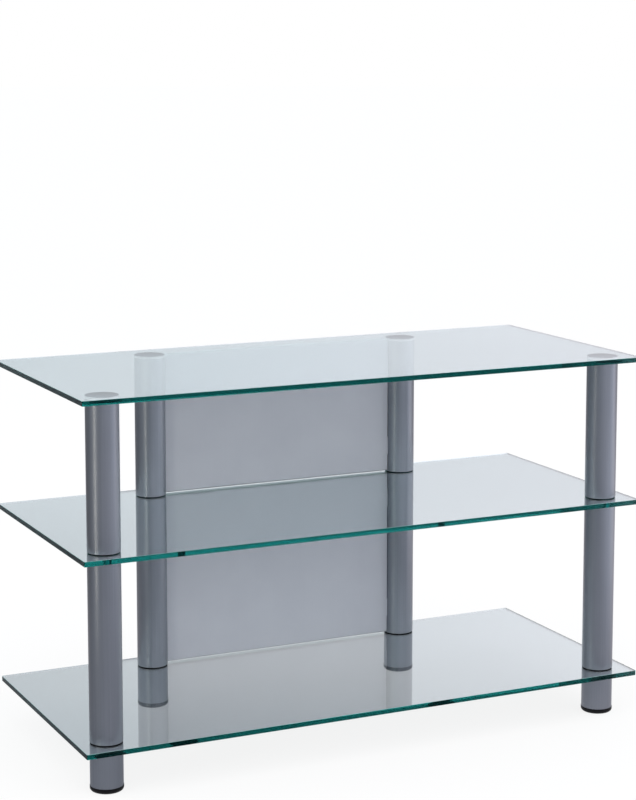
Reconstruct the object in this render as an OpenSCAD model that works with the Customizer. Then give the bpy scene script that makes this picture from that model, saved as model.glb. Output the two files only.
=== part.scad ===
// Three-tier glass television stand on four round tube legs.
// Origin: centre of the footprint on the floor. +X right, +Y to the back, +Z up. Millimetres.

/* [Glass shelves] */
// Width of every shelf, left to right
shelf_w = 950; // [760:10:1300]
// Depth of every shelf, front to back
shelf_d = 420; // [340:5:560]
// Thickness of the glass
glass_t = 8; // [6:1:12]
// Radius of the shelf corners, seen from above
corner_r = 2; // [2:0.5:20]
// Width of the ground bevel along every glass edge
bevel = 0.3; // [0.2:0.1:1.5]
// Diameter of the holes drilled through the middle and bottom shelves
glass_hole_d = 12; // [10:0.5:18]
// Width of the bevel round each end of a drilled hole
hole_bevel = 0.5; // [0.3:0.1:1]

/* [Legs] */
// Outside diameter of the leg tubes
tube_d = 50; // [44:1:60]
// Wall of the leg tubes
tube_wall = 2; // [1.5:0.1:3]
// Chamfer round the outer rim of each tube end
tube_chamfer = 0.3; // [0.1:0.1:1]
// Length of the tubes between the top and the middle shelf
upper_tube_l = 221; // [150:1:400]
// Length of the tubes between the middle and the bottom shelf
middle_tube_l = 277; // [150:1:400]
// Length of the tubes under the bottom shelf
lower_tube_l = 57; // [32:1:150]
// From the side edge of the glass to the axis of a front leg
front_leg_side = 46; // [38:1:120]
// From the front edge of the glass to the axis of a front leg
front_leg_front = 46; // [38:1:120]
// Distance between the axes of the two back legs
back_leg_spacing = 460; // [320:5:600]
// From the back edge of the glass to the axis of a back leg
back_leg_back = 46; // [38:1:120]

/* [Bonded discs] */
// Diameter of the discs bonded under the top shelf
disc_d = 50; // [40:1:60]
// Thickness of the discs
disc_t = 4; // [3:0.5:8]
// Chamfer round both rims of a disc
disc_chamfer = 0.3; // [0.1:0.1:1]
// Length of the stud that stands on each disc
disc_stud_l = 12; // [8:1:14]

/* [Inserts and studs] */
// Length of the inserts pressed into the tube ends
insert_l = 15; // [12:1:18]
// Wall of an insert's outer skirt
insert_wall = 2.5; // [1.5:0.1:4]
// Thickness of an insert's closed end
insert_web = 4; // [2.5:0.5:7]
// Chamfer round both ends of an insert, for pressing it in
insert_chamfer = 0.6; // [0.2:0.1:1]
// Diameter of an insert's threaded hub
insert_hub_d = 18; // [14:1:24]
// Number of ribs from hub to skirt
insert_ribs = 6; // [3:1:8]
// Thickness of each rib
insert_rib_t = 2; // [1:0.5:3]
// Gap between an insert or foot and the bore of its tube
press_gap = 0.1; // [0.05:0.05:0.3]
// Diameter of the threaded studs
stud_d = 8; // [6:1:9]
// Gap between a stud and the thread it turns in
thread_gap = 0.1; // [0.05:0.05:0.3]
// How far a stud reaches into each insert
stud_reach = 11; // [8:1:12]
// Chamfer at the ends of the studs
stud_chamfer = 0.8; // [0.3:0.1:1]

/* [Gaskets] */
// Thickness of the rings between tube and glass
gasket_t = 1; // [0.5:0.5:3]
// Outside diameter of the rings
gasket_d = 49; // [40:0.5:60]
// Gap round the collar that keeps a stud off the glass, inside and outside
collar_gap = 0.2; // [0.1:0.05:0.2]
// How far a collar stops short of the upper face of the glass
collar_short = 1; // [0.5:0.5:3]

/* [Feet] */
// Height of a foot below its tube
foot_h = 8; // [6:0.5:16]
// Diameter of a foot at its rim
foot_d = 51; // [46:0.5:62]
// Radius of the rounded lower edge of a foot
foot_edge_r = 5; // [2:0.5:5.5]
// Diameter of the hollow under a foot
foot_hollow_d = 26; // [12:1:30]
// Depth of the hollow under a foot
foot_hollow_h = 1.5; // [0.5:0.5:3]
// Length of the spigot that plugs into the tube
spigot_l = 10; // [6:1:13]
// Wall of the spigot, fins included
spigot_wall = 3; // [2.5:0.5:5]
// Number of sealing fins round the spigot
spigot_fins = 3; // [2:1:4]
// Thickness of each fin
fin_t = 1; // [0.6:0.1:1.2]
// How far the fins stand out from the spigot
fin_out = 1.2; // [0.6:0.1:1.5]

/* [Back panels] */
// Thickness of the sheet
sheet_t = 1.5; // [1:0.1:2.5]
// Depth of a panel over its folded edges
panel_depth = 12; // [8:0.5:20]
// Outside radius of the folds
fold_r = 3; // [2.6:0.1:5]
// From the back legs' axes forward to the front face of a panel
panel_forward = 4.3; // [2:0.1:10]
// Gap between a panel's ends and the tubes
panel_side_gap = 0.3; // [0.2:0.1:1]
// Gap between a panel's top edge and the glass above it
panel_top_gap = 0.5; // [0.3:0.1:2]
// Gap between a panel's bottom edge and the glass below it
panel_bottom_gap = 2; // [0.3:0.1:5]
// Length of each locating tab
tab_l = 30; // [15:1:40]
// From the end of a tube to the nearest tab
tab_from_end = 30; // [20:1:35]
// How far a tab passes the tube's inner wall
tab_past_wall = 3; // [1:0.5:6]
// Gap between a tab and its slot in the tube
slot_gap = 0.3; // [0.2:0.1:0.6]

/* [Hidden] */
$fn = 96;
// Cutters run this far past a face so that the cut is clean
through = 1;

tube_r = tube_d / 2;
bore_r = tube_r - tube_wall;

// Heights above the floor, from the feet up
lower_tube_z = foot_h;
bottom_under_gasket_z = lower_tube_z + lower_tube_l;
bottom_shelf_z = bottom_under_gasket_z + gasket_t;
bottom_over_gasket_z = bottom_shelf_z + glass_t;
middle_tube_z = bottom_over_gasket_z + gasket_t;
middle_under_gasket_z = middle_tube_z + middle_tube_l;
middle_shelf_z = middle_under_gasket_z + gasket_t;
middle_over_gasket_z = middle_shelf_z + glass_t;
upper_tube_z = middle_over_gasket_z + gasket_t;
disc_z = upper_tube_z + upper_tube_l;
top_shelf_z = disc_z + disc_t;

// Leg axes, seen from above
front_x = shelf_w / 2 - front_leg_side;
front_y = front_leg_front - shelf_d / 2;
back_x = back_leg_spacing / 2;
back_y = shelf_d / 2 - back_leg_back;
front_left = [-front_x, front_y];
front_right = [front_x, front_y];
back_left = [-back_x, back_y];
back_right = [back_x, back_y];
legs = [front_left, front_right, back_left, back_right];

// Back panel, measured from the back legs' axes
panel_half_w = back_x - tube_r - panel_side_gap;
panel_front_y = back_y - panel_forward;
tab_end_x = back_x - bore_r + tab_past_wall;

glass_colour = [0.72, 0.88, 0.85, 0.45];
metal_colour = [0.50, 0.53, 0.58];
disc_colour = [0.66, 0.68, 0.71];
plastic_colour = [0.07, 0.07, 0.08];
rubber_colour = [0.12, 0.12, 0.13];
clear_colour = [0.85, 0.88, 0.88, 0.6];
insert_colour = [0.80, 0.80, 0.78];
zinc_colour = [0.72, 0.72, 0.70];

// Puts its children on every leg axis
module at_legs(z) {
    for (leg = legs)
        translate([leg[0], leg[1], z])
            children();
}

// Cross-section of the ground glass edge: inner_w wide, then the bevelled rim
module edge_profile(inner_w) {
    polygon([
        [0, 0],
        [inner_w - bevel, 0],
        [inner_w, bevel],
        [inner_w, glass_t - bevel],
        [inner_w - bevel, glass_t],
        [0, glass_t]
    ]);
}

// Strip of glass along one straight edge, from the plate's middle line to the rim
module edge_strip(reach, length) {
    rotate([90, 0, 0])
        linear_extrude(length, center = true)
            edge_profile(reach);
}

// Flat glass plate with small rounded corners and a ground bevel all round
module glass_plate() {
    core_w = shelf_w - 2 * corner_r;
    core_d = shelf_d - 2 * corner_r;
    for (side = [0, 180])
        rotate([0, 0, side])
            edge_strip(shelf_w / 2, core_d);
    for (side = [90, 270])
        rotate([0, 0, side])
            translate([core_d / 2, 0, 0])
                edge_strip(corner_r, core_w);
    for (sx = [0, 1], sy = [0, 1])
        mirror([sx, 0, 0])
            mirror([0, sy, 0])
                translate([core_w / 2, core_d / 2, 0])
                    rotate_extrude(angle = 90)
                        edge_profile(corner_r);
}

// Cutter for one drilled hole, flared where it meets the faces of the glass
module hole_cutter() {
    hole_r = glass_hole_d / 2;
    flare = hole_bevel + through;
    translate([0, 0, -through])
        cylinder(h = glass_t + 2 * through, r = hole_r);
    translate([0, 0, -through])
        cylinder(h = flare, r1 = hole_r + flare, r2 = hole_r);
    translate([0, 0, glass_t - hole_bevel])
        cylinder(h = flare, r1 = hole_r, r2 = hole_r + flare);
}

// Glass plate with a hole on every leg axis
module drilled_plate() {
    difference() {
        glass_plate();
        at_legs(0)
            hole_cutter();
    }
}

// Round bar standing on z = 0, with both rims chamfered
module chamfered_bar(length, radius, chamfer) {
    cylinder(h = chamfer, r1 = radius - chamfer, r2 = radius);
    translate([0, 0, chamfer])
        cylinder(h = length - 2 * chamfer, r = radius);
    translate([0, 0, length - chamfer])
        cylinder(h = chamfer, r1 = radius, r2 = radius - chamfer);
}

// Plain leg tube standing on z = 0
module tube(length) {
    difference() {
        chamfered_bar(length, tube_r, tube_chamfer);
        translate([0, 0, -through])
            cylinder(h = length + 2 * through, r = bore_r);
    }
}

// Back leg tube whose two slots take the tabs of a panel that lies towards +X
module slotted_tube(length) {
    slot_w = sheet_t + 2 * slot_gap;
    slot_h = tab_l + slot_gap;
    difference() {
        tube(length);
        for (slot_z = [tab_from_end, length - tab_from_end - tab_l])
            translate([0, -panel_forward - slot_gap, slot_z])
                cube([tube_r + through, slot_w, slot_h]);
    }
}

module leg_tube(leg, z, length) {
    color(metal_colour)
        translate([leg[0], leg[1], z])
            tube(length);
}

// side is 1 where the panel lies towards +X and -1 where it lies towards -X
module back_leg_tube(leg, z, length, side) {
    color(metal_colour)
        translate([leg[0], leg[1], z])
            mirror([side < 0 ? 1 : 0, 0, 0])
                slotted_tube(length);
}

// Round plate for bonding under the glass, with the stud that takes the tube
module top_disc(leg) {
    color(disc_colour)
        translate([leg[0], leg[1], disc_z]) {
            chamfered_bar(disc_t, disc_d / 2, disc_chamfer);
            translate([0, 0, -disc_stud_l])
                chamfered_bar(disc_stud_l + stud_chamfer, stud_d / 2, stud_chamfer);
        }
}

// Pockets between the ribs of an insert, seen from its open end
module rib_pockets(inner_r) {
    difference() {
        circle(r = inner_r);
        circle(d = insert_hub_d);
        for (i = [0 : insert_ribs - 1])
            rotate(360 * i / insert_ribs)
                translate([0, -insert_rib_t / 2])
                    square([inner_r + through, insert_rib_t]);
    }
}

// Moulded plug with its closed end on z = 0 and its ribs above
module insert() {
    skirt_r = bore_r - press_gap;
    bore_d = stud_d + 2 * thread_gap;
    difference() {
        chamfered_bar(insert_l, skirt_r, insert_chamfer);
        translate([0, 0, insert_web])
            linear_extrude(insert_l)
                rib_pockets(skirt_r - insert_wall);
        translate([0, 0, -through])
            cylinder(h = insert_l + 2 * through, d = bore_d);
    }
}

// Inserts whose closed end faces down, in the lower ends of the tubes
module inserts_facing_down(z) {
    color(insert_colour)
        at_legs(z)
            insert();
}

// Inserts whose closed end faces up, in the upper ends of the tubes
module inserts_facing_up(z) {
    color(insert_colour)
        at_legs(z)
            mirror([0, 0, 1])
                insert();
}

// Studs that pass through one shelf into the inserts above and below it
module shelf_studs(shelf_z) {
    stud_l = glass_t + 2 * (gasket_t + stud_reach);
    color(zinc_colour)
        at_legs(shelf_z - gasket_t - stud_reach)
            chamfered_bar(stud_l, stud_d / 2, stud_chamfer);
}

// Flat rings between the glass and the tubes above it
module over_gaskets(z) {
    color(rubber_colour)
        at_legs(z)
            difference() {
                cylinder(h = gasket_t, d = gasket_d);
                translate([0, 0, -through])
                    cylinder(h = gasket_t + 2 * through, d = glass_hole_d);
            }
}

// Rings between the glass and the tubes below it, each with a collar that fills the drilled hole
module under_gaskets(z) {
    collar_l = gasket_t + glass_t - collar_short;
    color(clear_colour)
        at_legs(z)
            difference() {
                union() {
                    cylinder(h = gasket_t, d = gasket_d);
                    cylinder(h = collar_l, r = glass_hole_d / 2 - collar_gap);
                }
                translate([0, 0, -through])
                    cylinder(h = collar_l + 2 * through, r = stud_d / 2 + collar_gap);
            }
}

// Outline of half a foot, from its axis to the rim
module foot_profile() {
    rim_r = foot_d / 2;
    square([rim_r - foot_edge_r, foot_h]);
    translate([0, foot_edge_r])
        square([rim_r, foot_h - foot_edge_r]);
    intersection() {
        translate([rim_r - foot_edge_r, foot_edge_r])
            circle(r = foot_edge_r);
        square([rim_r, foot_edge_r]);
    }
}

// Spigot that stands on z = 0 and grips the tube with its fins
module spigot(fin_r) {
    fin_pitch = spigot_l / spigot_fins;
    cylinder(h = spigot_l, r = fin_r - fin_out);
    for (i = [1 : spigot_fins])
        translate([0, 0, i * fin_pitch - fin_t])
            cylinder(h = fin_t, r = fin_r);
}

// Plastic cap under a leg: rounded lower edge, shallow hollow, open spigot in the tube
module foot(leg) {
    spigot_r = bore_r - press_gap;
    color(plastic_colour)
        translate([leg[0], leg[1], 0])
            difference() {
                union() {
                    rotate_extrude()
                        foot_profile();
                    translate([0, 0, foot_h])
                        spigot(spigot_r);
                }
                translate([0, 0, foot_h])
                    cylinder(h = spigot_l + through, r = spigot_r - spigot_wall);
                translate([0, 0, -through])
                    cylinder(h = foot_hollow_h + through, d = foot_hollow_d);
            }
}

// One fold of the sheet, centred on the middle of its bend
module fold() {
    intersection() {
        difference() {
            circle(r = fold_r);
            circle(r = fold_r - sheet_t);
        }
        translate([-fold_r, -fold_r])
            square(fold_r);
    }
}

// Cross-section of a panel: upright sheet with its top and bottom folded to the back
module panel_profile(height) {
    translate([0, fold_r])
        square([sheet_t, height - 2 * fold_r]);
    for (z = [0, height - sheet_t])
        translate([fold_r, z])
            square([panel_depth - fold_r, sheet_t]);
    translate([fold_r, fold_r])
        fold();
    translate([fold_r, height - fold_r])
        mirror([0, 1])
            fold();
}

// Panel between the back legs and two shelves, with two tabs a side in the slots of the tubes
module back_panel(shelf_below_z, shelf_above_z, tube_z, tube_l) {
    bottom_z = shelf_below_z + glass_t + panel_bottom_gap;
    height = shelf_above_z - panel_top_gap - bottom_z;
    tab_reach = tab_end_x - panel_half_w;
    color(metal_colour)
        translate([0, panel_front_y, 0]) {
            translate([0, 0, bottom_z])
                rotate([90, 0, 90])
                    linear_extrude(2 * panel_half_w, center = true)
                        panel_profile(height);
            for (side = [0, 1], tab_z = [tab_from_end, tube_l - tab_from_end - tab_l])
                mirror([side, 0, 0])
                    translate([panel_half_w, 0, tube_z + tab_z])
                        cube([tab_reach, sheet_t, tab_l]);
        }
}

module top_shelf() {
    color(glass_colour)
        translate([0, 0, top_shelf_z])
            glass_plate();
}

module middle_shelf() {
    color(glass_colour)
        translate([0, 0, middle_shelf_z])
            drilled_plate();
}

module bottom_shelf() {
    color(glass_colour)
        translate([0, 0, bottom_shelf_z])
            drilled_plate();
}

module front_left_upper_tube() { leg_tube(front_left, upper_tube_z, upper_tube_l); }
module front_left_middle_tube() { leg_tube(front_left, middle_tube_z, middle_tube_l); }
module front_left_lower_tube() { leg_tube(front_left, lower_tube_z, lower_tube_l); }
module front_right_upper_tube() { leg_tube(front_right, upper_tube_z, upper_tube_l); }
module front_right_middle_tube() { leg_tube(front_right, middle_tube_z, middle_tube_l); }
module front_right_lower_tube() { leg_tube(front_right, lower_tube_z, lower_tube_l); }
module back_left_upper_tube() { back_leg_tube(back_left, upper_tube_z, upper_tube_l, 1); }
module back_left_middle_tube() { back_leg_tube(back_left, middle_tube_z, middle_tube_l, 1); }
module back_left_lower_tube() { leg_tube(back_left, lower_tube_z, lower_tube_l); }
module back_right_upper_tube() { back_leg_tube(back_right, upper_tube_z, upper_tube_l, -1); }
module back_right_middle_tube() { back_leg_tube(back_right, middle_tube_z, middle_tube_l, -1); }
module back_right_lower_tube() { leg_tube(back_right, lower_tube_z, lower_tube_l); }

module front_left_top_disc() { top_disc(front_left); }
module front_right_top_disc() { top_disc(front_right); }
module back_left_top_disc() { top_disc(back_left); }
module back_right_top_disc() { top_disc(back_right); }

module front_left_foot() { foot(front_left); }
module front_right_foot() { foot(front_right); }
module back_left_foot() { foot(back_left); }
module back_right_foot() { foot(back_right); }

module middle_shelf_over_gaskets() { over_gaskets(middle_over_gasket_z); }
module middle_shelf_under_gaskets() { under_gaskets(middle_under_gasket_z); }
module bottom_shelf_over_gaskets() { over_gaskets(bottom_over_gasket_z); }
module bottom_shelf_under_gaskets() { under_gaskets(bottom_under_gasket_z); }

module upper_tube_top_inserts() { inserts_facing_up(disc_z); }
module upper_tube_bottom_inserts() { inserts_facing_down(upper_tube_z); }
module middle_tube_top_inserts() { inserts_facing_up(middle_under_gasket_z); }
module middle_tube_bottom_inserts() { inserts_facing_down(middle_tube_z); }
module lower_tube_top_inserts() { inserts_facing_up(bottom_under_gasket_z); }

module middle_shelf_studs() { shelf_studs(middle_shelf_z); }
module bottom_shelf_studs() { shelf_studs(bottom_shelf_z); }

module upper_back_panel() { back_panel(middle_shelf_z, top_shelf_z, upper_tube_z, upper_tube_l); }
module lower_back_panel() { back_panel(bottom_shelf_z, middle_shelf_z, middle_tube_z, middle_tube_l); }

top_shelf();
middle_shelf();
bottom_shelf();
front_left_upper_tube();
front_left_middle_tube();
front_left_lower_tube();
front_right_upper_tube();
front_right_middle_tube();
front_right_lower_tube();
back_left_upper_tube();
back_left_middle_tube();
back_left_lower_tube();
back_right_upper_tube();
back_right_middle_tube();
back_right_lower_tube();
front_left_top_disc();
front_right_top_disc();
back_left_top_disc();
back_right_top_disc();
front_left_foot();
front_right_foot();
back_left_foot();
back_right_foot();
middle_shelf_over_gaskets();
middle_shelf_under_gaskets();
bottom_shelf_over_gaskets();
bottom_shelf_under_gaskets();
upper_tube_top_inserts();
upper_tube_bottom_inserts();
middle_tube_top_inserts();
middle_tube_bottom_inserts();
lower_tube_top_inserts();
middle_shelf_studs();
bottom_shelf_studs();
upper_back_panel();
lower_back_panel();
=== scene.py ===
import math
import bmesh
import bpy
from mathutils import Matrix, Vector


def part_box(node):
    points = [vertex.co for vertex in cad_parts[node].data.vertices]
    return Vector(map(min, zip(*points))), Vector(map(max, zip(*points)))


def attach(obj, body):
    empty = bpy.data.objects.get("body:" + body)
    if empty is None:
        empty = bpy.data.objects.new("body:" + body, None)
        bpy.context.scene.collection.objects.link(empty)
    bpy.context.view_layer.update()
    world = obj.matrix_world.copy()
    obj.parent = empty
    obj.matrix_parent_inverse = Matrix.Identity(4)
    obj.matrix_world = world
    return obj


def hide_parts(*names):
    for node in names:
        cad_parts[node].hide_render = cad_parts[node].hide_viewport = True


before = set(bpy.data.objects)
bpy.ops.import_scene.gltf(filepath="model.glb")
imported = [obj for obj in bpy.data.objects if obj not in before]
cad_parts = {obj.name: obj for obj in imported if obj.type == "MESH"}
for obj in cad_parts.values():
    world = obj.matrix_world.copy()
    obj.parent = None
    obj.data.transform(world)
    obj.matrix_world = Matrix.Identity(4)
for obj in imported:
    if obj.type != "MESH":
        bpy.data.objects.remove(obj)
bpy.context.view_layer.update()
print("frame loaded with", len(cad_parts), "pieces")

# Camera

cameraSettings = {
    "place": (-1.4349, -3.0048, 1.1152),
    "turn": 25.464,  # degrees to the right of straight ahead
    "pitch": 7.391,  # degrees downward
    "focalPixels": 2098.6,
    "longSidePixels": 800,
    "sensor": 36.0,
    "shiftUp": -0.12,
}


def makeCamera(s):
    data = bpy.data.cameras.new("standCamera")
    data.sensor_width = s["sensor"]
    data.lens = s["focalPixels"] / s["longSidePixels"] * s["sensor"]
    data.shift_y = s["shiftUp"]
    camera = bpy.data.objects.new("standCamera", data)
    camera.location = s["place"]
    camera.rotation_euler = (math.radians(90 - s["pitch"]), 0, -math.radians(s["turn"]))
    bpy.context.scene.collection.objects.link(camera)
    bpy.context.scene.camera = camera


makeCamera(cameraSettings)
print("camera placed")

# Small helpers for node trees

white = (1.0, 1.0, 1.0)
noiseEnds = (0.3, 0.7)  # nearly all values of one noise lie between these
mixedEnds = (0.35, 0.65)  # and of two noises mixed


def newMaterial(name):
    material = bpy.data.materials.new(name)
    material.use_nodes = True
    tree = material.node_tree
    tree.nodes.clear()
    return material, tree, put(tree, "TexCoord").outputs["Object"]


def put(tree, kind, inputs=None, **settings):
    node = tree.nodes.new("ShaderNode" + kind)
    for key, value in settings.items():
        setattr(node, key, value)
    for key, value in (inputs or {}).items():
        if isinstance(value, bpy.types.NodeSocket):
            tree.links.new(value, node.inputs[key])
        else:
            node.inputs[key].default_value = value
    return node


def maths(tree, operation, a, b=0.0):
    return put(tree, "Math", {0: a, 1: b}, operation=operation).outputs[0]


def weigh(tree, a, b, shareOfA):
    parts = maths(tree, "MULTIPLY", a, shareOfA), maths(tree, "MULTIPLY", b, 1.0 - shareOfA)
    return maths(tree, "ADD", *parts)


def along(tree, place, direction):
    return put(tree, "VectorMath", {0: place, 1: direction}, operation="DOT_PRODUCT").outputs["Value"]


def remap(tree, value, low, high, toLow=0.0, toHigh=1.0, smooth=False):
    kind = "SMOOTHSTEP" if smooth else "LINEAR"
    keys = {"Value": value, "From Min": low, "From Max": high, "To Min": toLow, "To Max": toHigh}
    return put(tree, "MapRange", keys, interpolation_type=kind).outputs["Result"]


def around(tree, noise, middle, spread):
    return remap(tree, noise, *noiseEnds, middle - spread, middle + spread)


def blendColours(tree, share, a, b, mode="MIX"):
    node = put(tree, "Mix", data_type="RGBA", blend_type=mode)
    # the sockets for colours are the seventh and eighth; the first is the share
    for index, value in ((0, share), (6, a), (7, b)):
        if isinstance(value, bpy.types.NodeSocket):
            tree.links.new(value, node.inputs[index])
        else:
            node.inputs[index].default_value = value if index == 0 else (*value, 1.0)[:4]
    return node.outputs[2]


def noiseAt(tree, place, scale, detail=2.0, stretch=None):
    if stretch is not None:
        place = put(tree, "Mapping", {"Vector": place, "Scale": stretch}).outputs["Vector"]
    keys = {"Vector": place, "Scale": scale, "Detail": detail}
    return put(tree, "TexNoise", keys).outputs["Fac"]


def bumpFrom(tree, height, distance, under=None):
    keys = {"Height": height, "Distance": distance, "Strength": 1.0}
    if under is not None:
        keys["Normal"] = under
    return put(tree, "Bump", keys).outputs["Normal"]


def normalAlong(tree, axis="Z"):
    normal = put(tree, "NewGeometry").outputs["True Normal"]
    return maths(tree, "ABSOLUTE", put(tree, "SeparateXYZ", {0: normal}).outputs[axis])


def finishTree(tree, surface, volume=None):
    output = put(tree, "OutputMaterial", {"Surface": surface})
    if volume is not None:
        tree.links.new(volume, output.inputs["Volume"])


def finishBody(material, tree, keys):
    finishTree(tree, put(tree, "BsdfPrincipled", keys).outputs[0])
    return material


# Materials

glassSettings = {
    "ior": 1.52,
    "passes": (0.0, 0.62, 0.595, 1.0),  # with the density: green left after a long way through
    "density": 11.0,
    "shadowTint": (0.88, 0.94, 0.94, 1.0),
    "edgeBelow": 0.05,  # a face whose normal rises less than this is an upright edge
    "edgeRough": (0.01, 0.05),
    "edgeGlare": (0.05, 0.70, 0.66),  # tint of what the long edges mirror
    "grinding": (60.0, 60.0, 9000.0),  # lines along the edges
    "grindingDetail": 3.0,
    "endAbove": 0.95,  # a face turned this far to the side is a short edge
    "endRough": 0.34,
    "endGlare": (0.92, 0.96, 1.0),
    "endDull": 0.5,  # how much of a short edge is dull from grinding
    "endGrey": (0.010, 0.014, 0.020, 1.0),
}


def makeGlass(s):
    material, tree, place = newMaterial("floatGlass")
    onEdge = maths(tree, "LESS_THAN", normalAlong(tree), s["edgeBelow"])
    onEnd = maths(tree, "GREATER_THAN", normalAlong(tree, "X"), s["endAbove"])
    grinding = noiseAt(tree, place, 1.0, s["grindingDetail"], s["grinding"])
    roughness = maths(tree, "MULTIPLY", onEdge, remap(tree, grinding, *noiseEnds, *s["edgeRough"]))
    roughness = maths(tree, "ADD", roughness, maths(tree, "MULTIPLY", onEnd, s["endRough"]))
    glare = blendColours(tree, onEdge, white, s["edgeGlare"])
    body = put(tree, "BsdfPrincipled", {
        "Base Color": (*white, 1.0),
        "Transmission Weight": 1.0,
        "IOR": s["ior"],
        "Roughness": roughness,
        "Specular Tint": blendColours(tree, onEnd, glare, s["endGlare"]),
    }).outputs[0]
    dull = put(tree, "BsdfDiffuse", {"Color": s["endGrey"]}).outputs[0]
    dullShare = maths(tree, "MULTIPLY", onEnd, s["endDull"])
    body = put(tree, "MixShader", {0: dullShare, 1: body, 2: dull}).outputs[0]
    letThrough = put(tree, "BsdfTransparent", {"Color": s["shadowTint"]}).outputs[0]
    isShadow = put(tree, "LightPath").outputs["Is Shadow Ray"]
    surface = put(tree, "MixShader", {0: isShadow, 1: body, 2: letThrough}).outputs[0]
    inside = put(tree, "VolumeAbsorption", {"Color": s["passes"], "Density": s["density"]}).outputs[0]
    finishTree(tree, surface, inside)
    return material


groundGlass = {
    "clear": (0.14, 0.36, 0.34), "white": (0.42, 0.62, 0.61), "rough": 0.5, "roughSpread": 0.1,
    "grit": 1400.0, "gritDetail": 3.0, "gritDepth": 0.00002, "chatter": 90.0, "gritShare": 0.5,
}


def makeGroundGlass(s):
    material, tree, place = newMaterial("groundGlass")
    grit = noiseAt(tree, place, s["grit"], s["gritDetail"])
    tone = weigh(tree, grit, noiseAt(tree, place, s["chatter"]), s["gritShare"])
    return finishBody(material, tree, {
        "Base Color": blendColours(tree, remap(tree, tone, *mixedEnds), s["clear"], s["white"]),
        "Roughness": around(tree, grit, s["rough"], s["roughSpread"]),
        "Normal": bumpFrom(tree, grit, s["gritDepth"]),
    })


lacquerCoat = {
    "drawn": (900.0, 900.0, 4.0),  # fine lines left by drawing the metal
    "drawnDetail": 3.0,
    "clouds": 9.0,
    "cloudDetail": 3.0,
    "flakes": 2600.0,
    "flakeDetail": 1.0,
    "flakeDepth": 0.000012,
    "sparkleEnds": (0.62, 0.8),
    "sparkleMost": 0.5,
    "peel": 420.0,  # soft waves of the sprayed coat
    "peelDetail": 1.0,
    "rim": (0.3, 0.95),  # how far the normal of a cut rim rises
    "wear": 240.0,
    "wearDetail": 3.0,
    "wearEnds": (0.45, 0.6),
    "wearFromTo": (0.2, 0.9),
    "roughSpread": 0.03,
    "gloss": 0.3,
    "glossRough": 0.14,
}
lacquerSettings = {
    "tube": {
        "dark": (0.234, 0.249, 0.287), "light": (0.274, 0.290, 0.330), "worn": (0.38, 0.39, 0.41),
        "metal": 0.9, "rough": 0.36, "peelDepth": 0.000004, "streaks": 0.6,
    },
    "panel": {
        "dark": (0.80, 0.805, 0.88), "light": (0.86, 0.865, 0.935), "worn": (0.88, 0.885, 0.92),
        "metal": 0.15, "rough": 0.46, "peelDepth": 0.000012, "streaks": 0.15,
    },
}


def makeLacquer(name, s, coat):
    material, tree, place = newMaterial(name)
    streaks = noiseAt(tree, place, 1.0, coat["drawnDetail"], coat["drawn"])
    clouds = noiseAt(tree, place, coat["clouds"], coat["cloudDetail"])
    flakes = noiseAt(tree, place, coat["flakes"], coat["flakeDetail"])
    peel = noiseAt(tree, place, coat["peel"], coat["peelDetail"])
    tone = weigh(tree, streaks, clouds, s["streaks"])
    colour = blendColours(tree, remap(tree, tone, *noiseEnds), s["dark"], s["light"])
    sparkle = remap(tree, flakes, *coat["sparkleEnds"], 0.0, coat["sparkleMost"])
    colour = blendColours(tree, sparkle, colour, s["worn"])
    rise = normalAlong(tree)
    rimFrom, rimTo = coat["rim"]
    pastWall = maths(tree, "GREATER_THAN", rise, rimFrom)
    onRim = maths(tree, "MULTIPLY", pastWall, maths(tree, "LESS_THAN", rise, rimTo))
    patches = noiseAt(tree, place, coat["wear"], coat["wearDetail"])
    wear = remap(tree, patches, *coat["wearEnds"], *coat["wearFromTo"])
    wear = maths(tree, "MULTIPLY", onRim, wear)
    colour = blendColours(tree, wear, colour, s["worn"])  # thinner coat on the cut rims
    return finishBody(material, tree, {
        "Base Color": colour,
        "Metallic": s["metal"],
        "Roughness": around(tree, flakes, s["rough"], coat["roughSpread"]),
        "Coat Weight": coat["gloss"],
        "Coat Roughness": coat["glossRough"],
        "Normal": bumpFrom(tree, flakes, coat["flakeDepth"], bumpFrom(tree, peel, s["peelDepth"])),
    })


discFinish = {
    "dark": (0.80, 0.81, 0.83), "light": (0.90, 0.91, 0.93),
    "metal": 0.35, "rough": 0.43, "roughSpread": 0.05,
    "ringPitch": 0.0006, "ringDepth": 0.00001, "ringShare": 0.12, "grain": 1500.0,
}
bondFilm = {
    "dark": (0.11, 0.118, 0.14), "light": (0.17, 0.18, 0.208),
    "metal": 1.0, "rough": 0.22, "roughSpread": 0.04,
    "edgeOn": (0.08, 0.08, 0.08, 1.0),  # a film that mirrors next to nothing at a flat angle
    "grain": 1800.0, "flow": 60.0, "grainShare": 0.5,
}


def makeTurnedMetal(s):
    material, tree, place = newMaterial("turnedAluminium")
    flat = put(tree, "VectorMath", {0: place, 1: (1.0, 1.0, 0.0)}, operation="MULTIPLY").outputs[0]
    radius = put(tree, "VectorMath", {0: flat}, operation="LENGTH").outputs["Value"]
    rings = maths(tree, "SINE", maths(tree, "MULTIPLY", radius, 2 * math.pi / s["ringPitch"]))
    grain = noiseAt(tree, place, s["grain"])
    tone = maths(tree, "ADD", maths(tree, "MULTIPLY", rings, s["ringShare"]), grain)
    return finishBody(material, tree, {
        "Base Color": blendColours(tree, remap(tree, tone, *noiseEnds), s["dark"], s["light"]),
        "Metallic": s["metal"],
        "Roughness": around(tree, grain, s["rough"], s["roughSpread"]),
        "Normal": bumpFrom(tree, rings, s["ringDepth"]),
    })


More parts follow.
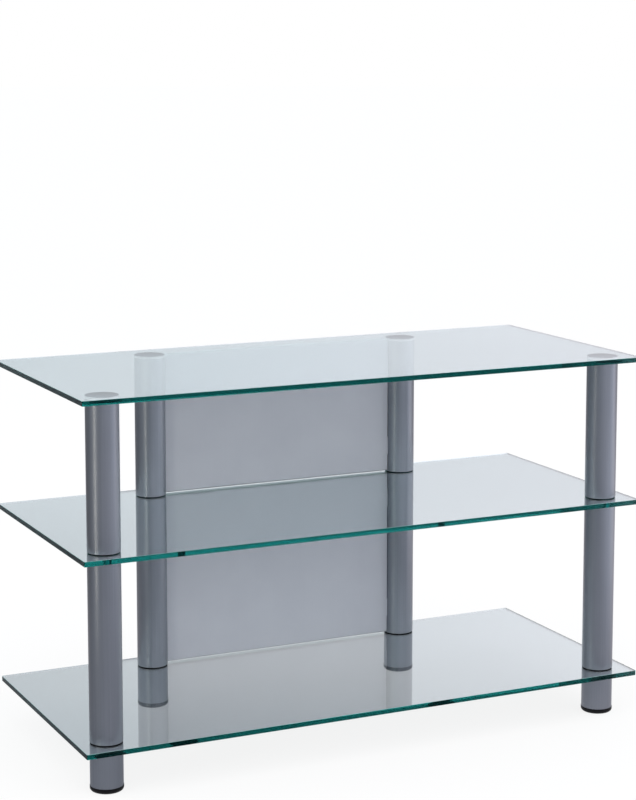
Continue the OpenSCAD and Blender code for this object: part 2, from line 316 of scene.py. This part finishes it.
def makeBondFilm(s):
    material, tree, place = newMaterial("bondedFace")  # blasted metal, darkened by the bond that wets it
    flow = noiseAt(tree, place, s["flow"])
    tone = weigh(tree, noiseAt(tree, place, s["grain"]), flow, s["grainShare"])
    return finishBody(material, tree, {
        "Base Color": blendColours(tree, remap(tree, tone, *mixedEnds), s["dark"], s["light"]),
        "Metallic": s["metal"],
        "Specular Tint": s["edgeOn"],
        "Roughness": around(tree, flow, s["rough"], s["roughSpread"]),
    })


plasticGrain = {"patches": 60.0, "grainShare": 0.6, "toneSpread": 0.25, "roughSpread": 0.05}
plasticSettings = {
    "foot": {
        "colour": (0.004, 0.004, 0.005), "rough": 0.4, "shine": 0.16, "metal": 0.0,
        "grain": 1500.0, "depth": 0.00002,
    },
    "rubber": {
        "colour": (0.010, 0.010, 0.011), "rough": 0.7, "shine": 0.2, "metal": 0.0,
        "grain": 2600.0, "depth": 0.00001,
    },
    "insert": {
        "colour": (0.62, 0.61, 0.56), "rough": 0.48, "shine": 0.5, "metal": 0.0,
        "grain": 700.0, "depth": 0.00001,
    },
    "collar": {  # tinted like the glass, so that it shows little in the edge
        "colour": (0.012, 0.25, 0.24), "rough": 0.32, "shine": 0.5, "metal": 1.0,
        "grain": 900.0, "depth": 0.000004,
    },
}


def makePlastic(name, s, moulding):
    material, tree, place = newMaterial(name)
    grain = noiseAt(tree, place, s["grain"])
    patches = noiseAt(tree, place, moulding["patches"])
    tone = weigh(tree, grain, patches, moulding["grainShare"])
    dark = tuple(c * (1.0 - moulding["toneSpread"]) for c in s["colour"])
    light = tuple(c * (1.0 + moulding["toneSpread"]) for c in s["colour"])
    return finishBody(material, tree, {
        "Base Color": blendColours(tree, remap(tree, tone, *mixedEnds), dark, light),
        "Metallic": s["metal"],
        "Roughness": around(tree, patches, s["rough"], moulding["roughSpread"]),
        "Specular IOR Level": s["shine"],
        "Normal": bumpFrom(tree, grain, s["depth"]),
    })


clearPlastic = {
    "haze": 300.0, "dark": (0.86, 0.88, 0.87), "light": (0.94, 0.95, 0.95), "ior": 1.5,
    "rough": 0.17, "roughSpread": 0.05,
}


def makeClearPlastic(s):
    material, tree, place = newMaterial("clearRingPlastic")
    haze = noiseAt(tree, place, s["haze"])
    return finishBody(material, tree, {
        "Base Color": blendColours(tree, haze, s["dark"], s["light"]),
        "Transmission Weight": 1.0,
        "IOR": s["ior"],
        "Roughness": around(tree, haze, s["rough"], s["roughSpread"]),
    })


zincPlate = {
    "dark": (0.42, 0.43, 0.44), "light": (0.60, 0.61, 0.62),
    "grain": 900.0, "metal": 1.0, "rough": 0.35, "roughSpread": 0.07,
    "bloom": 90.0, "bloomEnds": (0.5, 0.7), "bloomMost": 0.5, "bloomColour": (0.58, 0.54, 0.44),
}


def makeZinc(s):
    material, tree, place = newMaterial("zincSteel")
    grain = noiseAt(tree, place, s["grain"])
    plate = blendColours(tree, grain, s["dark"], s["light"])
    bloom = remap(tree, noiseAt(tree, place, s["bloom"]), *s["bloomEnds"], 0.0, s["bloomMost"])
    return finishBody(material, tree, {
        "Base Color": blendColours(tree, bloom, plate, s["bloomColour"]),
        "Metallic": s["metal"],
        "Roughness": around(tree, grain, s["rough"], s["roughSpread"]),
    })


finishes = {
    "clear_glass": makeGlass(glassSettings),
    "tube_lacquer": makeLacquer("tubeLacquer", lacquerSettings["tube"], lacquerCoat),
    "panel_lacquer": makeLacquer("panelLacquer", lacquerSettings["panel"], lacquerCoat),
    "disc_metal": makeTurnedMetal(discFinish),
    "foot_plastic": makePlastic("footPlastic", plasticSettings["foot"], plasticGrain),
    "gasket_rubber": makePlastic("gasketRubber", plasticSettings["rubber"], plasticGrain),
    "gasket_clear": makeClearPlastic(clearPlastic),
    "insert_plastic": makePlastic("insertPlastic", plasticSettings["insert"], plasticGrain),
    "stud_zinc": makeZinc(zincPlate),
}
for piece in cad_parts.values():
    for materialSlot in piece.material_slots:
        materialSlot.material = finishes[materialSlot.material.name]
print("materials assigned")

# Own pieces, built where the frame has them


def meshPiece(name, mesh, nodes, materials, origin=(0.0, 0.0, 0.0)):
    piece = bpy.data.objects.new(name, mesh)
    piece.location = origin
    bpy.context.scene.collection.objects.link(piece)
    for material in materials:
        mesh.materials.append(material)
    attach(piece, "root")
    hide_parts(*nodes)


def smoothAll(mesh, sharpAngle=30.0):
    mesh.polygons.foreach_set("use_smooth", [True] * len(mesh.polygons))
    mesh.set_sharp_from_angle(angle=math.radians(sharpAngle))
    mesh.update()


def addLathe(work, profile, centre, sides=96):
    # the profile's points are (radius, height); it starts and ends on the axis, or else closes on itself
    axisEnds = profile[0][0] == 0.0 and profile[-1][0] == 0.0
    rings = []
    for radius, height in profile:
        count = 1 if radius == 0.0 else sides
        turns = [2 * math.pi * i / sides for i in range(count)]
        rings.append([work.verts.new((
            centre[0] + radius * math.cos(turn), centre[1] + radius * math.sin(turn), centre[2] + height,
        )) for turn in turns])
    pairs = list(zip(rings, rings[1:]))
    if not axisEnds:
        pairs.append((rings[-1], rings[0]))
    for lower, upper in pairs:
        for i in range(sides):
            j = (i + 1) % sides
            corners = [lower[i % len(lower)], lower[j % len(lower)]]
            corners += [upper[j % len(upper)], upper[i % len(upper)]]
            work.faces.new(list(dict.fromkeys(corners)))  # a point on the axis counts once


def roundedRim(radius, low, high, edge, steps=4):
    # points up the outside of a flat ring whose two rims have the edge radius
    lower = [(radius - edge + edge * math.sin(a), low + edge - edge * math.cos(a))
             for a in [math.pi / 2 * i / steps for i in range(steps + 1)]]
    upper = [(r, low + high - h) for r, h in reversed(lower)]
    return lower + upper


def meshFrom(name, build):
    mesh = bpy.data.meshes.new(name)
    work = bmesh.new()
    build(work)
    bmesh.ops.recalc_face_normals(work, faces=work.faces)
    work.to_mesh(mesh)
    work.free()
    smoothAll(mesh)
    return mesh


def legAxes():
    axes = {}
    for leg in ("front_left", "front_right", "back_left", "back_right"):
        low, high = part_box(leg + "_lower_tube")
        axes[leg] = ((low.x + high.x) / 2, (low.y + high.y) / 2)
    return axes


axisOf = legAxes()

# Glass plates: copies of the frame's faces, with the narrow upper bevels ground instead of polished

plateSettings = {"bevel": (0.05, 0.95), "weld": 0.000001}  # how far a bevel's normal rises


def makePlate(node, s):
    work = bmesh.new()
    work.from_mesh(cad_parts[node].data)
    bmesh.ops.remove_doubles(work, verts=work.verts, dist=s["weld"])
    riseFrom, riseTo = s["bevel"]
    for face in work.faces:
        face.material_index = 1 if riseFrom < face.normal.z < riseTo else 0
    mesh = bpy.data.meshes.new(node + "Plate")
    work.to_mesh(mesh)
    work.free()
    for extra in [a for a in mesh.attributes if a.name == "custom_normal"]:
        mesh.attributes.remove(extra)
    smoothAll(mesh)
    materials = [finishes["clear_glass"], groundGlassFinish]
    meshPiece(node + "_plate", mesh, [node], materials)


groundGlassFinish = makeGroundGlass(groundGlass)
for shelfNode in ("top_shelf", "middle_shelf", "bottom_shelf"):
    makePlate(shelfNode, plateSettings)
print("glass plates made")

# Gaskets: flat rings with rounded rims, four in each group, and collars through the holes from below

gasketSettings = {
    "rimRound": 0.0003,
    "boreRound": 0.0002,
    "holeRadius": 0.006,
    "collarRadius": 0.00602,  # pressed into the hole
    "collarBore": 0.0042,
    "slack": 0.00002,  # when faces are told apart by height
    "squeeze": {  # how far a ring is pressed on its glass: above zero is wet contact, below is a hair of air
        "middle_shelf_over_gaskets": -0.00004,
        "middle_shelf_under_gaskets": -0.00004,
        "bottom_shelf_over_gaskets": 0.00002,
        "bottom_shelf_under_gaskets": 0.00002,
    },
}


def makeGaskets(node, s):
    low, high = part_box(node)
    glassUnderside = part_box(node.rsplit("_", 2)[0])[0].z
    radius = high.x - max(x for x, y in axisOf.values())
    over = "over" in node
    squeeze = s["squeeze"][node]
    bottom = low.z - squeeze if over else low.z
    thick = high.z - bottom if over else glassUnderside + squeeze - bottom
    bore = s["holeRadius"] if over else s["collarBore"]
    soft = s["boreRound"]

    def build(work):
        profile = roundedRim(radius, 0.0, thick, s["rimRound"])
        if over:
            profile += [(bore + soft, thick), (bore, thick - soft)]
        else:
            reach = high.z - bottom
            profile += [(s["collarRadius"], thick), (s["collarRadius"], reach - soft)]
            profile += [(s["collarRadius"] - soft, reach), (bore + soft, reach), (bore, reach - soft)]
        profile += [(bore, soft), (bore + soft, 0.0)]
        for x, y in axisOf.values():
            addLathe(work, profile, (x, y, bottom))
        for face in work.faces:
            touches = not over and face.calc_center_median().z > bottom + thick - s["slack"]
            face.material_index = 1 if touches else 0

    slot = "gasket_rubber" if over else "gasket_clear"
    contact = finishes["gasket_rubber"] if squeeze > 0 else collarFinish
    meshPiece(node + "_rings", meshFrom(node + "Rings", build), [node], [finishes[slot], contact])


collarFinish = makePlastic("collarPlastic", plasticSettings["collar"], plasticGrain)
for gasketNode in gasketSettings["squeeze"]:
    makeGaskets(gasketNode, gasketSettings)
print("gaskets made")

# Threaded studs, a thread cut as a field of heights round each bar

threadSettings = {
    "pitch": 0.00125, "depth": 0.00065, "endChamfer": 0.0008,
    "rowsPerTurn": 10, "fewestRows": 4, "columns": 36,
}


def addThreadedBar(work, centre, radius, low, high, s):
    # triangular ridges that climb with the turn and fade into the chamfered ends
    length = high - low
    rows = max(s["fewestRows"], round(length / s["pitch"] * s["rowsPerTurn"]))
    rings = []
    for row in range(rows + 1):
        height = length * row / rows
        toEnd = min(height, length - height)
        cap = radius - max(0.0, s["endChamfer"] - toEnd)
        ring = []
        for column in range(s["columns"]):
            share = column / s["columns"]
            phase = (height / s["pitch"] - share) % 1.0
            ridge = radius - s["depth"] * (1.0 - abs(2.0 * phase - 1.0))
            reach = min(cap, ridge)
            turn = 2 * math.pi * share
            ring.append(work.verts.new((
                centre[0] + reach * math.cos(turn), centre[1] + reach * math.sin(turn), low + height,
            )))
        rings.append(ring)
    for lower, upper in zip(rings, rings[1:]):
        for i in range(s["columns"]):
            j = (i + 1) % s["columns"]
            work.faces.new((lower[i], lower[j], upper[j], upper[i]))
    work.faces.new(list(reversed(rings[0])))
    work.faces.new(rings[-1])


def makeStuds(node, s):
    low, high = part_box(node)
    radius = high.x - max(x for x, y in axisOf.values())

    def build(work):
        for x, y in axisOf.values():
            addThreadedBar(work, (x, y), radius, low.z, high.z, s)

    mesh = meshFrom(node + "Threaded", build)
    meshPiece(node + "_threaded", mesh, [node], [finishes["stud_zinc"]])


for studNode in ("middle_shelf_studs", "bottom_shelf_studs"):
    makeStuds(studNode, threadSettings)
print("studs made")

# Discs bonded under the top glass: dark bond towards the glass, satin rim, threaded stud below

discSettings = {
    "rimRound": 0.0003,
    "wetContact": 0.00002,  # how far the bonded face reaches into the glass
    "studRadius": 0.004,
    "neck": 0.0006,  # how far the stud reaches into the disc
    "slack": 0.00003,  # when faces are told apart by height
}


def makeDisc(leg, s):
    node = leg + "_top_disc"
    low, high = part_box(node)
    radius = (high.x - low.x) / 2
    x, y = axisOf[leg]
    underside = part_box(leg + "_upper_tube")[1].z - high.z

    def build(work):
        rim = roundedRim(radius, underside, s["wetContact"], s["rimRound"])
        addLathe(work, [(0.0, underside)] + rim + [(0.0, s["wetContact"])], (0.0, 0.0, 0.0))
        for face in work.faces:
            bonded = min(v.co.z for v in face.verts) > s["wetContact"] - s["slack"]
            face.material_index = 1 if bonded else 0
        studEnds = low.z - high.z, underside + s["neck"]
        addThreadedBar(work, (0.0, 0.0), s["studRadius"], *studEnds, threadSettings)

    mesh = meshFrom(node + "Turned", build)
    materials = [finishes["disc_metal"], bondFinish]
    meshPiece(node + "_turned", mesh, [node], materials, (x, y, high.z))


bondFinish = makeBondFilm(bondFilm)
for discLeg in axisOf:
    makeDisc(discLeg, discSettings)
print("discs made")

# Floor, world and lights

roomSettings = {
    "floorRadius": 40.0,
    "floorSides": 96,
    "seen": white,  # floor and backdrop as the camera sees them; the floor tones below are painted light and shade that glass and lacquer see
    "toBack": (0.43, 0.903, 0.0),  # away from the camera; distances on the floor are in metres
    "toRight": (0.903, -0.43, 0.0),
    "frontLevel": 0.35,  # painted brightness of the floor before the stand
    "frontTint": (0.965, 1.0, 1.1),
    "backLevel": 0.55,  # and behind it
    "backTint": (1.0, 0.965, 1.01),
    "frontToBack": (-0.5, 0.3),  # over which one passes into the other
    "frontDrop": 0.12,  # painted shade, darker far before the stand
    "frontFromTo": (-1.5, -3.0),
    "farDrop": 0.2,  # and far behind it
    "farFromTo": (0.8, 4.0),
    "steepColour": (0.86, 0.875, 0.89),  # painted floor tone where a ray meets the floor from well above
    "steepFromTo": (0.62, 0.36),
    "nearSlope": 0.24,  # painted light, brighter towards the right just behind the stand
    "nearWide": 0.7,
    "nearFades": (0.8, 1.8),
    "rightLift": 0.70,  # a painted pool of light at the right
    "rightSkew": 0.35,
    "rightFromTo": (0.8, 1.86),
    "rightStarts": (-1.8, -0.6),
    "rightLeast": 0.3,
    "rightFades": (0.5, 1.6),
    "leftBackDrop": 0.25,  # painted shade, darker at the left behind the stand
    "leftBackFromTo": (-0.9, -1.7),
    "leftBackStarts": (-1.0, 0.3),
    "leftNearDrop": 0.09,  # and a painted shadow beside its left end
    "leftNearFromTo": (-0.455, -0.515),
    "leftNearFades": (-0.1, 0.15),
    "shadowShare": 0.14,  # how much of the floor's light the stand can shade, for the camera too
    "skyLeft": (0.865, 0.94, 1.0),
    "skyRight": (1.085, 1.085, 1.165),
    "skyTurns": (-0.2, 0.2),
    "highFront": (1.30, 1.32, 1.36),
    "highBack": (0.62, 0.64, 0.68),
    "highTurns": (-0.5, 0.5),
    "highFromTo": (0.33, 0.7),
}


def floorLevel(tree, back, right, behind, s):
    # painted light and shade on the floor, by its place before, behind and beside the stand
    def part(way, ends, low=0.0, high=1.0, smooth=True):
        return remap(tree, way, *ends, low, high, smooth)

    level = part(behind, (0.0, 1.0), s["frontLevel"], s["backLevel"], smooth=False)
    skewed = maths(tree, "SUBTRACT", right, maths(tree, "MULTIPLY", back, s["rightSkew"]))
    lift = part(skewed, s["rightFromTo"], 0.0, s["rightLift"])
    lift = maths(tree, "MULTIPLY", lift, part(back, s["rightStarts"], s["rightLeast"], 1.0, smooth=False))
    lift = maths(tree, "MULTIPLY", lift, part(back, s["rightFades"], 1.0, 0.0))
    wide, tilt = s["nearWide"], s["nearWide"] * s["nearSlope"]
    slope = part(right, (-wide, wide), -tilt, tilt, smooth=False)
    slope = maths(tree, "MULTIPLY", slope, part(back, s["nearFades"], 1.0, 0.0))
    lift = maths(tree, "ADD", lift, maths(tree, "MULTIPLY", slope, behind))
    # painted shade at the left behind the stand
    drop = part(right, s["leftBackFromTo"], 0.0, s["leftBackDrop"], smooth=False)
    drop = maths(tree, "MULTIPLY", drop, part(back, s["leftBackStarts"]))
    # a painted shadow beside the stand's left end
    shade = part(right, s["leftNearFromTo"], 0.0, s["leftNearDrop"])
    shade = maths(tree, "MULTIPLY", shade, part(back, s["leftNearFades"], 1.0, 0.0))
    drop = maths(tree, "ADD", drop, shade)
    drop = maths(tree, "ADD", drop, part(back, s["farFromTo"], 0.0, s["farDrop"], smooth=False))
    drop = maths(tree, "ADD", drop, part(back, s["frontFromTo"], 0.0, s["frontDrop"], smooth=False))
    return maths(tree, "SUBTRACT", maths(tree, "ADD", level, lift), drop)


def makeFloor(s):
    turns = [2 * math.pi * i / s["floorSides"] for i in range(s["floorSides"])]
    ring = [(s["floorRadius"] * math.cos(turn), s["floorRadius"] * math.sin(turn), 0.0) for turn in turns]
    mesh = bpy.data.meshes.new("floor")
    mesh.from_pydata(ring, [], [list(range(s["floorSides"]))])
    floor = bpy.data.objects.new("floor", mesh)
    bpy.context.scene.collection.objects.link(floor)
    material, tree, place = newMaterial("paleFloor")
    back = along(tree, place, s["toBack"])
    right = along(tree, place, s["toRight"])
    behind = remap(tree, back, *s["frontToBack"], smooth=True)
    level = floorLevel(tree, back, right, behind, s)
    tint = blendColours(tree, behind, s["frontTint"], s["backTint"])
    dimmed = put(tree, "VectorMath", {0: tint, "Scale": level}, operation="SCALE").outputs[0]
    # painted tone that changes with the angle at which a ray meets the floor
    facing = put(tree, "LayerWeight").outputs["Facing"]
    fromAbove = remap(tree, facing, *s["steepFromTo"], smooth=True)
    dimmed = blendColours(tree, fromAbove, dimmed, s["steepColour"])
    isCamera = put(tree, "LightPath").outputs["Is Camera Ray"]
    colour = blendColours(tree, isCamera, dimmed, s["seen"])
    # the floor glows: plain white for the camera, the painted light and shade for glass and lacquer
    glow = put(tree, "Emission", {"Color": colour, "Strength": 1.0 - s["shadowShare"]}).outputs[0]
    shaded = blendColours(tree, 1.0, colour, (s["shadowShare"],) * 3, "MULTIPLY")
    matt = put(tree, "BsdfDiffuse", {"Color": shaded}).outputs[0]
    finishTree(tree, put(tree, "AddShader", {0: glow, 1: matt}).outputs[0])
    mesh.materials.append(material)


def makeWorld(s):
    world = bpy.data.worlds.new("softRoom")
    bpy.context.scene.world = world
    world.use_nodes = True
    tree = world.node_tree
    tree.nodes.clear()
    direction = put(tree, "TexCoord").outputs["Generated"]
    rise = put(tree, "SeparateXYZ", {0: direction}).outputs["Z"]
    height = remap(tree, rise, *s["highFromTo"], smooth=True)
    behind = remap(tree, along(tree, direction, s["toBack"]), *s["highTurns"], smooth=True)
    high = blendColours(tree, behind, s["highFront"], s["highBack"])
    side = remap(tree, along(tree, direction, s["toRight"]), *s["skyTurns"], smooth=True)
    low = blendColours(tree, side, s["skyLeft"], s["skyRight"])
    colour = blendColours(tree, height, low, high)
    light = put(tree, "Background", {"Color": colour}).outputs[0]
    seen = put(tree, "Background", {"Color": (*s["seen"], 1.0)}).outputs[0]
    isCamera = put(tree, "LightPath").outputs["Is Camera Ray"]
    surface = put(tree, "MixShader", {0: isCamera, 1: light, 2: seen}).outputs[0]
    put(tree, "OutputWorld", {"Surface": surface})


lampSettings = {
    "overhead": {
        "place": (1.0, -0.8, 2.5), "aim": (0.1, 0.0, 0.2), "size": (2.4, 1.8),
        "power": 14.0, "colour": white,
    },
    "leftStrip": {
        "place": (-1.07, -0.37, 0.72), "aim": (-0.43, -0.16, 0.72), "size": (0.05, 1.2),
        "power": 1.0, "colour": (1.0, 0.93, 0.77),
    },
}


def makeSoftbox(name, s):
    data = bpy.data.lights.new(name, "AREA")
    data.shape = "RECTANGLE"
    data.size, data.size_y = s["size"]
    data.energy = s["power"]
    data.color = s["colour"]
    lamp = bpy.data.objects.new(name, data)
    lamp.location = s["place"]
    direction = Vector(s["aim"]) - Vector(s["place"])
    lamp.rotation_euler = direction.to_track_quat("-Z", "Y").to_euler()
    lamp.visible_camera = False
    bpy.context.scene.collection.objects.link(lamp)


makeFloor(roomSettings)
makeWorld(roomSettings)
for lampName, lampValues in lampSettings.items():
    makeSoftbox(lampName, lampValues)

lightPaths = {"bounces": 20, "mirrored": 16, "through": 16}  # a ray meets many faces of glass
bpy.context.scene.view_settings.view_transform = "Standard"
cycles = bpy.context.scene.cycles
cycles.max_bounces = lightPaths["bounces"]
cycles.glossy_bounces = lightPaths["mirrored"]
cycles.transmission_bounces = lightPaths["through"]
cycles.caustics_reflective = False
cycles.caustics_refractive = False
print("room lit")
